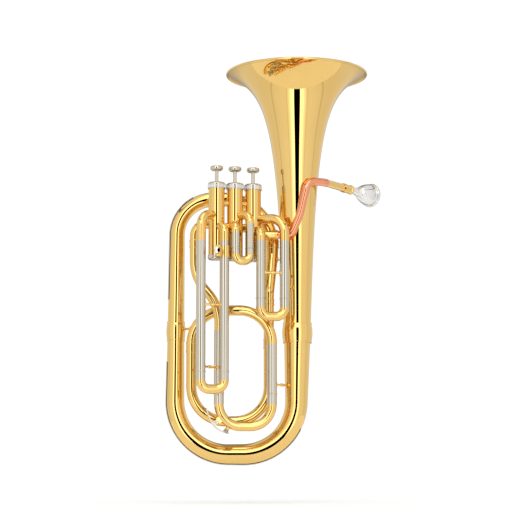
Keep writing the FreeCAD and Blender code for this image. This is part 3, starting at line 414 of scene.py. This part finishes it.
def sum_of(tree, operation, *values):
    """Result socket of one step of arithmetic on numbers or sockets."""
    node = tree.nodes.new("ShaderNodeMath")
    node.operation = operation
    for index, value in enumerate(values):
        if isinstance(value, bpy.types.NodeSocket):
            tree.links.new(value, node.inputs[index])
        else:
            node.inputs[index].default_value = value
    return node.outputs[0]


def end_tree(tree, geometry, finish):
    """Real, smooth, finished geometry at the tree's end."""
    real = add(tree, "GeometryNodeRealizeInstances", Geometry=geometry)
    smooth = add(tree, "GeometryNodeSetShadeSmooth", Geometry=real.outputs[0])
    done = add(tree, "GeometryNodeSetMaterial", Geometry=smooth.outputs[0], Material=finish)
    tree.links.new(done.outputs[0], tree.nodes.new("NodeGroupOutput").inputs["Geometry"])
    return tree


def grown(name, tree, slot, place=None, crease=None, **values):
    """Plain mesh object made by a tree, moved to its place in its mesh."""
    seed = bpy.data.objects.new(name + "_seed", bpy.data.meshes.new(name + "_seed"))
    bpy.context.scene.collection.objects.link(seed)
    modifier = seed.modifiers.new("Build", "NODES")
    modifier.node_group = tree
    sockets = {item.name: item.identifier for item in tree.interface.items_tree if item.in_out == "INPUT"}
    modifier[sockets["Finish"]] = finishes()[slot]
    for label, value in values.items():
        modifier[sockets[label.replace("_", " ")]] = value
    ready = seed.evaluated_get(bpy.context.evaluated_depsgraph_get())
    mesh = bpy.data.meshes.new_from_object(ready)
    seed.modifiers.remove(modifier)
    bpy.data.objects.remove(seed)
    if not mesh.polygons:
        raise RuntimeError(name + " came out empty")
    if place is not None:
        mesh.transform(place)
    if crease is not None:
        mesh.set_sharp_from_angle(angle=crease)
    mesh.name = name
    piece = bpy.data.objects.new(name, mesh)
    bpy.context.scene.collection.objects.link(piece)
    return piece


def joined(name, pieces):
    """One object from several that ride on the same body."""
    shape = bmesh.new()
    for piece in pieces:
        shape.from_mesh(piece.data)
    mesh = bpy.data.meshes.new(name)
    shape.to_mesh(mesh)
    shape.free()
    mesh.materials.append(pieces[0].data.materials[0])
    for piece in pieces:
        bpy.data.objects.remove(piece)
    whole = bpy.data.objects.new(name, mesh)
    bpy.context.scene.collection.objects.link(whole)
    return whole


def settle(piece, body):
    """Puts a piece on its body."""
    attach(piece, body)


def bell_tree():
    """Bell whose radius follows a horn's flare, with a wall and a bead rolled round its mouth."""
    tree, given = geometry_tree("Bell", [
        ("Mouth Radius", "NodeSocketFloat", 0.1155), ("Length", "NodeSocketFloat", 0.4255),
        ("Flare", "NodeSocketFloat", 0.0271), ("Power", "NodeSocketFloat", 0.6),
        ("Wall", "NodeSocketFloat", 0.0008), ("Bead", "NodeSocketFloat", 0.0019),
        ("Around", "NodeSocketInt", 176), ("Along", "NodeSocketInt", 90)])
    grid = add(tree, "GeometryNodeMeshGrid", Size_X=1.0, Size_Y=1.0, Vertices_X=given["Around"],
               Vertices_Y=given["Along"])
    where = add(tree, "ShaderNodeSeparateXYZ", Vector=add(tree, "GeometryNodeInputPosition").outputs[0])
    turn = sum_of(tree, "MULTIPLY", sum_of(tree, "ADD", where.outputs["X"], 0.5), 2 * math.pi)
    share = sum_of(tree, "POWER", sum_of(tree, "ADD", where.outputs["Y"], 0.5), 0.55)
    wall_length = sum_of(tree, "SUBTRACT", given["Length"], sum_of(tree, "MULTIPLY", given["Bead"], 0.5))
    height = sum_of(tree, "MULTIPLY", share, wall_length)
    depth = sum_of(tree, "SUBTRACT", given["Length"], height)
    opening = sum_of(tree, "DIVIDE", given["Flare"], sum_of(tree, "ADD", given["Flare"], depth))
    radius = sum_of(tree, "MULTIPLY", given["Mouth Radius"], sum_of(tree, "POWER", opening, given["Power"]))
    point = add(tree, "ShaderNodeCombineXYZ", Z=height,
                X=sum_of(tree, "MULTIPLY", radius, sum_of(tree, "COSINE", turn)),
                Y=sum_of(tree, "MULTIPLY", radius, sum_of(tree, "SINE", turn)))
    bent = add(tree, "GeometryNodeSetPosition", Geometry=grid.outputs["Mesh"], Position=point.outputs[0])
    outside = add(tree, "GeometryNodeMergeByDistance", Geometry=bent.outputs[0], Distance=1e-6)
    inward = sum_of(tree, "MULTIPLY", given["Wall"], -1.0)
    drawn = add(tree, "GeometryNodeExtrudeMesh", {"mode": "FACES"}, Mesh=outside.outputs[0],
                Offset_Scale=inward, Individual=False)
    inside = add(tree, "GeometryNodeFlipFaces", Mesh=drawn.outputs["Mesh"])
    shell = add(tree, "GeometryNodeJoinGeometry", Geometry=[outside.outputs[0], inside.outputs[0]])
    closed = add(tree, "GeometryNodeMergeByDistance", Geometry=shell.outputs[0], Distance=1e-6)
    ring = add(tree, "GeometryNodeCurvePrimitiveCircle", Resolution=given["Around"],
               Radius=sum_of(tree, "SUBTRACT", given["Mouth Radius"], given["Bead"]))
    section = add(tree, "GeometryNodeCurvePrimitiveCircle", Resolution=16, Radius=given["Bead"])
    bead = add(tree, "GeometryNodeCurveToMesh", Curve=ring.outputs[0], Profile_Curve=section.outputs[0])
    lift = add(tree, "ShaderNodeCombineXYZ", Z=sum_of(tree, "SUBTRACT", given["Length"], given["Bead"]))
    placed = add(tree, "GeometryNodeTransform", Geometry=bead.outputs[0], Translation=lift.outputs[0])
    both = add(tree, "GeometryNodeJoinGeometry", Geometry=[closed.outputs[0], placed.outputs[0]])
    return end_tree(tree, both.outputs[0], given["Finish"])


def coil_tree():
    """Coil of round wire standing on its first turn."""
    tree, given = geometry_tree("Coil", [
        ("Turns", "NodeSocketFloat", 6.0), ("Radius", "NodeSocketFloat", 0.0086),
        ("Height", "NodeSocketFloat", 0.025), ("Wire", "NodeSocketFloat", 0.0005),
        ("Steps", "NodeSocketInt", 40)])
    line = add(tree, "GeometryNodeCurveSpiral", Resolution=given["Steps"], Rotations=given["Turns"],
               Start_Radius=given["Radius"], End_Radius=given["Radius"], Height=given["Height"])
    section = add(tree, "GeometryNodeCurvePrimitiveCircle", Resolution=10, Radius=given["Wire"])
    wire = add(tree, "GeometryNodeCurveToMesh", Curve=line.outputs[0], Profile_Curve=section.outputs[0],
               Fill_Caps=True)
    return end_tree(tree, wire.outputs[0], given["Finish"])


def rib_tree():
    """Ring of rounded ribs standing on a round side, such as a cap's grip."""
    tree, given = geometry_tree("Grip Ribs", [
        ("Count", "NodeSocketInt", 40), ("Radius", "NodeSocketFloat", 0.014),
        ("Depth", "NodeSocketFloat", 0.00035), ("Width", "NodeSocketFloat", 0.0006),
        ("Height", "NodeSocketFloat", 0.005)])
    ring = add(tree, "GeometryNodeMeshCircle", Vertices=given["Count"], Radius=given["Radius"])
    ball = add(tree, "GeometryNodeMeshUVSphere", Segments=8, Rings=6, Radius=1.0)
    shape = add(tree, "ShaderNodeCombineXYZ", X=given["Depth"], Y=given["Width"],
                Z=sum_of(tree, "MULTIPLY", given["Height"], 0.5))
    rib = add(tree, "GeometryNodeTransform", Geometry=ball.outputs["Mesh"], Scale=shape.outputs[0])
    step = sum_of(tree, "DIVIDE", 2 * math.pi, given["Count"])
    turn = sum_of(tree, "MULTIPLY", add(tree, "GeometryNodeInputIndex").outputs[0], step)
    facing = add(tree, "ShaderNodeCombineXYZ", Z=turn)
    ribs = add(tree, "GeometryNodeInstanceOnPoints", Points=ring.outputs[0], Instance=rib.outputs[0],
               Rotation=facing.outputs[0])
    return end_tree(tree, ribs.outputs[0], given["Finish"])


def ring_tree():
    """Round wire ring lying flat about Z, such as a bead or a turned line."""
    tree, given = geometry_tree("Ring", [
        ("Radius", "NodeSocketFloat", 0.01), ("Wire", "NodeSocketFloat", 0.0005),
        ("Steps", "NodeSocketInt", 96)])
    line = add(tree, "GeometryNodeCurvePrimitiveCircle", Resolution=given["Steps"], Radius=given["Radius"])
    section = add(tree, "GeometryNodeCurvePrimitiveCircle", Resolution=12, Radius=given["Wire"])
    ring = add(tree, "GeometryNodeCurveToMesh", Curve=line.outputs[0], Profile_Curve=section.outputs[0])
    return end_tree(tree, ring.outputs[0], given["Finish"])


def shared_tree(name, make):
    """Geometry tree of that name, made the first time it is asked for."""
    return bpy.data.node_groups.get(name) or make()


def moved(x, y, z):
    """Place of a shape that is only moved."""
    return Matrix.Translation((x, y, z))


def turned_to(axis, point):
    """Place of a shape built about Z that is to stand about another axis."""
    turn = Vector((0, 0, 1)).rotation_difference(axis)
    return Matrix.Translation(point) @ turn.to_matrix().to_4x4()


# --- operators --------------------------------------------------------------------------------

class HORN_OT_frame_finish(bpy.types.Operator):
    """Give every part that keeps its own shape its metal, felt or cork"""
    bl_idname = "horn.frame_finish"
    bl_label = "Finish Parts"

    def execute(self, context):
        for node in frame["nodes"]:
            finish_node(node)
        return {"FINISHED"}


class HORN_OT_bell(bpy.types.Operator):
    """Build the flared bell with its rolled rim"""
    bl_idname = "horn.bell"
    bl_label = "Bell"

    def execute(self, context):
        sizes = context.scene.horn_sizes
        mouth_low, mouth_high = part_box("bell_flare")
        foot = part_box("bell_tail")[0][2]
        centre = centre_of("bell_flare")
        bell = grown("bell_shell", shared_tree("Bell", bell_tree), "lacquered_brass",
                     moved(centre[0], centre[1], foot), math.radians(40),
                     Mouth_Radius=(mouth_high[0] - mouth_low[0]) / 2, Length=mouth_high[2] - foot,
                     Flare=sizes.flare, Power=sizes.flare_power, Wall=sizes.bell_wall,
                     Bead=sizes.bell_bead)
        settle(bell, "horn")
        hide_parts("bell_tail", "bell_throat", "bell_flare")
        return {"FINISHED"}


class HORN_OT_springs(bpy.types.Operator):
    """Wind the three valve springs"""
    bl_idname = "horn.springs"
    bl_label = "Valve Springs"

    def execute(self, context):
        sizes = context.scene.horn_sizes
        wire = sizes.spring_wire
        for number in VALVES:
            node = "valve_spring_%d" % number
            low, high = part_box(node)
            foot = centre_of("valve_stem_%d" % number)
            radius = (high[0] - low[0]) / 2 - wire
            spring = grown("spring_%d" % number, shared_tree("Coil", coil_tree), "spring_steel",
                           moved(foot[0], foot[1], low[2] + wire), None, Turns=sizes.spring_turns,
                           Radius=radius, Height=high[2] - low[2] - 2 * wire, Wire=wire)
            settle(spring, "horn")
            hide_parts(node)
            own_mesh(spring)
        return {"FINISHED"}


class HORN_OT_cap_grips(bpy.types.Operator):
    """Cut the grip ribs round the valve caps"""
    bl_idname = "horn.cap_grips"
    bl_label = "Cap Grips"

    def execute(self, context):
        sizes = context.scene.horn_sizes
        for name, node, foot, top in CAP_GRIPS:
            low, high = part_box(node)
            last, first = centre_of("valve_stem_3"), centre_of("valve_stem_1")
            radius = (high[0] - low[0] - (first[0] - last[0])) / 2
            rings = []
            for number in VALVES:
                centre = centre_of("valve_stem_%d" % number)
                rings.append(grown("%s_%d" % (name, number), shared_tree("Grip Ribs", rib_tree),
                                   "nickel_silver",
                                   moved(centre[0], centre[1], low[2] + (foot + top) / 2),
                                   None, Count=sizes.rib_count, Radius=radius - RIB_SINK,
                                   Depth=sizes.rib_depth, Width=0.00065, Height=top - foot))
            settle(joined(name, rings), "horn")
        return {"FINISHED"}


class HORN_OT_screw_grip(bpy.types.Operator):
    """Cut the grip ribs round the thumb screw's head"""
    bl_idname = "horn.screw_grip"
    bl_label = "Thumb Screw Grip"

    def execute(self, context):
        low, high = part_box("lyre_screw")
        reach = (high[1] - low[1] - SCREW_TILT[1]) / abs(SCREW_AXIS.y)
        tip = Vector((high[0] - SCREW_TILT[0], high[1], (low[2] + high[2]) / 2))
        grip = grown("thumb_screw_grip", shared_tree("Grip Ribs", rib_tree), "nickel_silver",
                     turned_to(SCREW_AXIS, tip + SCREW_AXIS * (reach - SCREW_HEAD_HALF)), None, Count=28,
                     Radius=(high[2] - low[2]) / 2 - RIB_SINK, Depth=0.0003, Width=0.00045, Height=0.0021)
        settle(grip, "lyre_screw")
        return {"FINISHED"}


class HORN_OT_mouthpiece_rings(bpy.types.Operator):
    """Turn the rings round the mouthpiece's cup and neck"""
    bl_idname = "horn.mouthpiece_rings"
    bl_label = "Mouthpiece Rings"

    def execute(self, context):
        end = RECEIVER_FOOT + RECEIVER_AXIS * RECEIVER_LENGTH
        rings = []
        for index, (along, radius, wire) in enumerate(MOUTHPIECE_RINGS):
            rings.append(grown("mouthpiece_ring_%d" % index, shared_tree("Ring", ring_tree), "silver_plate",
                               turned_to(RECEIVER_AXIS, end + RECEIVER_AXIS * along), None,
                               Radius=radius, Wire=wire))
        settle(joined("mouthpiece_rings", rings), "mouthpiece")
        return {"FINISHED"}


class HORN_OT_key_spring(bpy.types.Operator):
    """Wind the water key's spring round its knuckle"""
    bl_idname = "horn.key_spring"
    bl_label = "Water Key Spring"

    def execute(self, context):
        wire = context.scene.horn_sizes.key_wire
        pin = centre_of("water_key_pin") + KEY_AXIS * 0.0005
        coils = []
        for index, start in enumerate(KEY_COIL_STARTS):
            coils.append(grown("key_coil_%d" % index, shared_tree("Coil", coil_tree), "spring_steel",
                               turned_to(KEY_AXIS, pin + KEY_AXIS * start), None, Turns=3.0,
                               Radius=KEY_KNUCKLE_R + 1.4 * wire, Height=0.0013, Wire=wire))
        settle(joined("key_spring", coils), "main_slide")
        return {"FINISHED"}


def studio_world(studio):
    """White tent with two bright panels beside the lens and a dark gap between them. The backdrop
    itself is plain white."""
    world = bpy.data.worlds.new("Studio Tent")
    world.use_nodes = True
    nodes, links = world.node_tree.nodes, world.node_tree.links
    nodes.clear()

    def math_node(operation, *values, clamp=False):
        node = nodes.new("ShaderNodeMath")
        node.operation = operation
        node.use_clamp = clamp
        for index, value in enumerate(values):
            if isinstance(value, (int, float)):
                node.inputs[index].default_value = value
            else:
                links.new(value, node.inputs[index])
        return node.outputs[0]

    def ramp(value, start, end, low=0.0, high=1.0):
        """Smooth change of value from low at start to high at end."""
        node = nodes.new("ShaderNodeMapRange")
        node.interpolation_type = "SMOOTHSTEP"
        for label, amount in (("From Min", start), ("From Max", end), ("To Min", low), ("To Max", high)):
            node.inputs[label].default_value = amount
        links.new(value, node.inputs["Value"])
        return node.outputs["Result"]

    def band(value, centre, half, soft):
        """One near centre, falling to nothing on either side."""
        return math_node("MULTIPLY", ramp(value, centre - half - soft, centre - half),
                         ramp(value, centre + half + soft, centre + half))

    place = nodes.new("ShaderNodeTexCoord")
    parts = nodes.new("ShaderNodeSeparateXYZ")
    links.new(place.outputs["Generated"], parts.inputs[0])
    turn = math_node("ABSOLUTE", math_node("ARCTAN2", parts.outputs["X"],
                                           math_node("MULTIPLY", parts.outputs["Y"], -1.0)))
    rise = math_node("ARCSINE", parts.outputs["Z"])
    degree = math.radians(1.0)
    over_foot = ramp(rise, -studio.panel_foot - degree, -studio.panel_foot + degree)
    panel = math_node("MULTIPLY", over_foot,
                      ramp(turn, studio.gap_half, studio.panel_half, studio.panel, 0.0))
    lit = math_node("ADD", panel, studio.tent)
    far = math_node("MULTIPLY", ramp(turn, 150 * degree, 176 * degree),
                    ramp(rise, -44 * degree, -24 * degree))
    behind = math_node("SUBTRACT", 1.0, math_node("MULTIPLY", far, 1.0 - studio.behind))
    drift = ramp(turn, 40 * degree, 110 * degree, 1.04, 0.9)
    tent = math_node("MULTIPLY", math_node("MULTIPLY", lit, behind), drift)
    beside_gap = ramp(turn, studio.gap_half + degree, studio.gap_half - degree)
    under_top = ramp(rise, 20 * degree, 16 * degree)
    gap = math_node("MULTIPLY", beside_gap, math_node("MULTIPLY", over_foot, under_top))
    seam = math_node("MULTIPLY", band(rise, 42.5 * degree, 1.5 * degree, 2 * degree), 0.75)
    side_edge = math_node("MULTIPLY", math_node("MULTIPLY", over_foot, 0.2),
                          band(turn, 86 * degree, 0.5 * degree, 4 * degree))
    panel_edge = math_node("MULTIPLY", math_node("MULTIPLY", over_foot, 0.2),
                           band(turn, studio.panel_half, 0.3 * degree, 1.2 * degree))
    dark = math_node("MAXIMUM", math_node("MAXIMUM", gap, seam),
                     math_node("MAXIMUM", side_edge, panel_edge))
    light = math_node("MULTIPLY", tent, math_node("SUBTRACT", 1.0, dark))
    white = (1.0, 1.0, 1.0, 1.0)
    around = nodes.new("ShaderNodeBackground")
    around.inputs["Color"].default_value = white
    links.new(light, around.inputs["Strength"])
    backdrop = nodes.new("ShaderNodeBackground")
    backdrop.inputs["Color"].default_value = white
    backdrop.inputs["Strength"].default_value = 1.05
    ray = nodes.new("ShaderNodeLightPath")
    choose = nodes.new("ShaderNodeMixShader")
    output = nodes.new("ShaderNodeOutputWorld")
    links.new(ray.outputs["Is Camera Ray"], choose.inputs["Fac"])
    links.new(around.outputs[0], choose.inputs[1])
    links.new(backdrop.outputs[0], choose.inputs[2])
    links.new(choose.outputs[0], output.inputs["Surface"])
    return world


class HORN_OT_studio(bpy.types.Operator):
    """Set up the pale floor, the white tent and the camera"""
    bl_idname = "horn.studio"
    bl_label = "Studio"

    def execute(self, context):
        studio = context.scene.horn_studio
        context.scene.world = studio_world(studio)
        context.scene.view_settings.view_transform = "Standard"
        bell = centre_of("bell_flare")
        bpy.ops.mesh.primitive_circle_add(
            vertices=160, radius=studio.floor_radius, fill_type="TRIFAN",
            location=(bell[0], bell[1], CAD_BOX[0][2] - studio.floor_drop))
        floor = context.object
        floor.name = "studio_floor"
        material, _, _, shader = new_material("Pale Floor")
        shader.inputs["Base Color"].default_value = (0.86, 0.86, 0.86, 1.0)
        shader.inputs["Roughness"].default_value = 0.9
        shader.inputs["Emission Color"].default_value = (1.0, 1.0, 1.0, 1.0)
        shader.inputs["Emission Strength"].default_value = 0.22
        floor.data.materials.append(material)
        camera = bpy.data.cameras.new("studio_camera")
        camera.lens = studio.lens
        camera.sensor_width = FILM_WIDTH
        holder = bpy.data.objects.new("studio_camera", camera)
        holder.location = CAMERA_PLACE
        holder.rotation_euler = (math.pi / 2 + studio.camera_pitch, 0.0, 0.0)
        context.scene.collection.objects.link(holder)
        context.scene.camera = holder
        return {"FINISHED"}


class HORN_PT_panel(bpy.types.Panel):
    bl_label = "Horn"
    bl_idname = "HORN_PT_panel"
    bl_space_type = "VIEW_3D"
    bl_region_type = "UI"
    bl_category = "Horn"

    def draw(self, context):
        for operator in OPERATORS:
            self.layout.operator(operator.bl_idname)


OPERATORS = (HORN_OT_frame_finish, HORN_OT_bell, HORN_OT_springs, HORN_OT_cap_grips,
             HORN_OT_screw_grip, HORN_OT_mouthpiece_rings, HORN_OT_key_spring, HORN_OT_studio)
GROUPS = (HornFinish, HornSizes, HornStudio)


def register():
    for each in GROUPS + OPERATORS + (HORN_PT_panel,):
        bpy.utils.register_class(each)
    bpy.types.Scene.horn_finish = PointerProperty(type=HornFinish)
    bpy.types.Scene.horn_sizes = PointerProperty(type=HornSizes)
    bpy.types.Scene.horn_studio = PointerProperty(type=HornStudio)


def unregister():
    del bpy.types.Scene.horn_studio
    del bpy.types.Scene.horn_sizes
    del bpy.types.Scene.horn_finish
    for each in reversed(GROUPS + OPERATORS + (HORN_PT_panel,)):
        bpy.utils.unregister_class(each)


def main():
    register()
    for operator in OPERATORS:
        group, name = operator.bl_idname.split(".")
        getattr(getattr(bpy.ops, group), name)()


if __name__ == "__main__":
    main()
